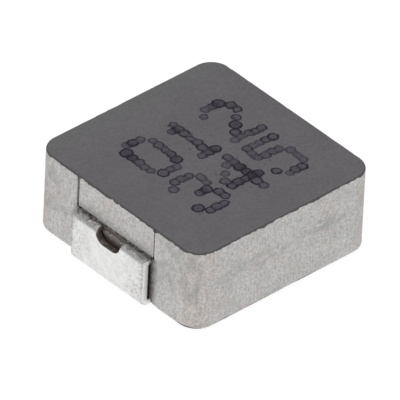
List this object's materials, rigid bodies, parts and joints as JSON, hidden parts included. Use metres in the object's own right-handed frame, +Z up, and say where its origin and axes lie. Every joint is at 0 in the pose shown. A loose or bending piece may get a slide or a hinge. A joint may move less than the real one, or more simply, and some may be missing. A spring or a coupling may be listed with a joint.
{
  "type": "shielded smd inductor",
  "caption": "Moulded square power inductor for surface mounting: pressed iron-powder block round a flat-wire coil, with two folded tinned solder terminals.",
  "frame": {"origin": "on the circuit board under the middle of the part, in the plane of the two solder feet", "axes": "+X from foot to foot, towards terminal_right; +Y towards the top of the printed digits; +Z up, away from the board"},
  "size_m": [0.0108, 0.01, 0.004],
  "materials": {
    "pressed_powder": "pressed iron powder and resin, pale and scratched on the sides, dark grey matt skin on top and bottom",
    "enamelled_copper": "flat copper wire under clear enamel",
    "tinned_copper": "matt tin plating on copper strip",
    "ink": "dried ink-jet dots with darker rims"
  },
  "bodies": {
    "root": {"moulded_body": "pressed_powder", "coil": "enamelled_copper", "terminal_left": "tinned_copper", "terminal_right": "tinned_copper", "marking": "ink"}
  },
  "joints": []
}
